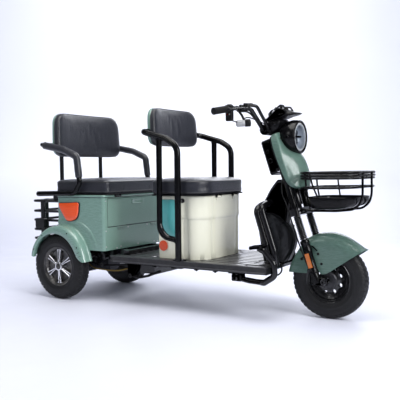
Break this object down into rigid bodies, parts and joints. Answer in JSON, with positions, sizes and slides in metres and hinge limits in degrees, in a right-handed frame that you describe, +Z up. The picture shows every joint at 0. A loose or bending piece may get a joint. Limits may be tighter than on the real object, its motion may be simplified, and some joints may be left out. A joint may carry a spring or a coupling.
{
  "type": "electric cargo tricycle",
  "caption": "Three-wheeled electric passenger and cargo trike with two bench seats, a rear box, a ribbed floor, a front basket and a steered front wheel.",
  "frame": {"origin": "on the floor under the middle of the vehicle's box", "axes": "+X is the way it drives, +Y its left side, +Z up"},
  "size_m": [1.989, 0.69, 1.066],
  "materials": {
    "mint_paint": "gloss paint over moulded panels",
    "cream_plastic": "satin moulded plastic",
    "teal_panel": "gloss moulded plastic",
    "black_frame": "gloss black powder coat",
    "deck_black": "ribbed moulded floor",
    "black_plastic": "satin moulded plastic",
    "seat_leather": "stitched black synthetic leather",
    "rubber": "moulded rubber grip",
    "tyre": "road tyre, worn matte",
    "alloy_silver": "machined spokes, dark painted barrel",
    "wheel_black": "black painted pressed wheel",
    "steel": "zinc plated steel",
    "lens_clear": "clear lens over a bright reflector",
    "lens_amber": "amber lens",
    "lens_red": "dark red lens",
    "motor_grey": "black painted casting",
    "battery_case": "black battery cases"
  },
  "bodies": {
    "root": {"armrest_pads": "rubber", "backrest_shells": "mint_paint", "battery_pack": "battery_case", "brake_pedal": "steel", "chassis_frame": "black_frame", "controller_box": "black_plastic", "floor_deck": "deck_black", "front_backrest_pad": "seat_leather", "front_seat_box": "cream_plastic", "leaf_springs": "black_frame", "leg_shield": "black_plastic", "lid_and_door_hinges": "steel", "rear_axle_motor": "motor_grey", "rear_backrest_pad": "seat_leather", "rear_box": "mint_paint", "rear_fenders": "mint_paint", "rear_rack": "black_frame", "rear_seat_frame": "black_frame", "seat_box_side_panels": "teal_panel", "seat_guard_frames": "black_frame", "side_marker_lights": "lens_amber", "tail_lights": "lens_red"},
    "steering": {"front_fork": "black_frame", "handlebar": "black_frame", "handlebar_grips": "rubber", "handlebar_controls": "black_plastic", "display_pod": "black_plastic", "headlamp_bowl": "black_plastic", "headlamp_lens": "lens_clear", "nose_panel": "mint_paint", "ignition_box": "black_plastic", "front_basket": "black_frame", "front_fender": "mint_paint", "fork_reflectors": "lens_amber"},
    "front_wheel_set": {"front_tyre": "tyre", "front_wheel": "wheel_black"},
    "rear_right_wheel_set": {"rear_right_tyre": "tyre", "rear_right_wheel": "alloy_silver"},
    "rear_left_wheel_set": {"rear_left_tyre": "tyre", "rear_left_wheel": "alloy_silver"},
    "front_seat_lid": {"front_seat_pan": "black_plastic", "front_seat_cushion": "seat_leather"},
    "rear_seat_lid": {"rear_seat_pan": "black_plastic", "rear_seat_cushion": "seat_leather"},
    "rear_door": {"rear_box_door": "mint_paint"}
  },
  "joints": [
    {"name": "steering", "type": "hinge", "parent": "root", "child": "steering", "pos_m": [0.6571, 0, 0.51], "axis": [-0.309, 0, 0.9511], "range_deg": [-40, 40]},
    {"name": "front_wheel_spin", "type": "hinge", "parent": "steering", "child": "front_wheel_set", "pos_m": [0.8085, 0, 0.186], "axis": [0, 1, 0], "continuous": true},
    {"name": "rear_right_wheel_spin", "type": "hinge", "parent": "root", "child": "rear_right_wheel_set", "pos_m": [-0.6965, -0.284, 0.186], "axis": [0, 1, 0], "continuous": true},
    {"name": "rear_left_wheel_spin", "type": "hinge", "parent": "root", "child": "rear_left_wheel_set", "pos_m": [-0.6965, 0.284, 0.186], "axis": [0, 1, 0], "continuous": true},
    {"name": "front_seat_hinge", "type": "hinge", "parent": "root", "child": "front_seat_lid", "pos_m": [0.237, 0, 0.584], "axis": [0, 1, 0], "range_deg": [0, 65]},
    {"name": "rear_seat_hinge", "type": "hinge", "parent": "root", "child": "rear_seat_lid", "pos_m": [-0.3575, 0, 0.586], "axis": [0, 1, 0], "range_deg": [0, 80]},
    {"name": "rear_door_hinge", "type": "hinge", "parent": "root", "child": "rear_door", "pos_m": [-0.362, 0, 0.4115], "axis": [0, 1, 0], "range_deg": [0, 90]}
  ]
}
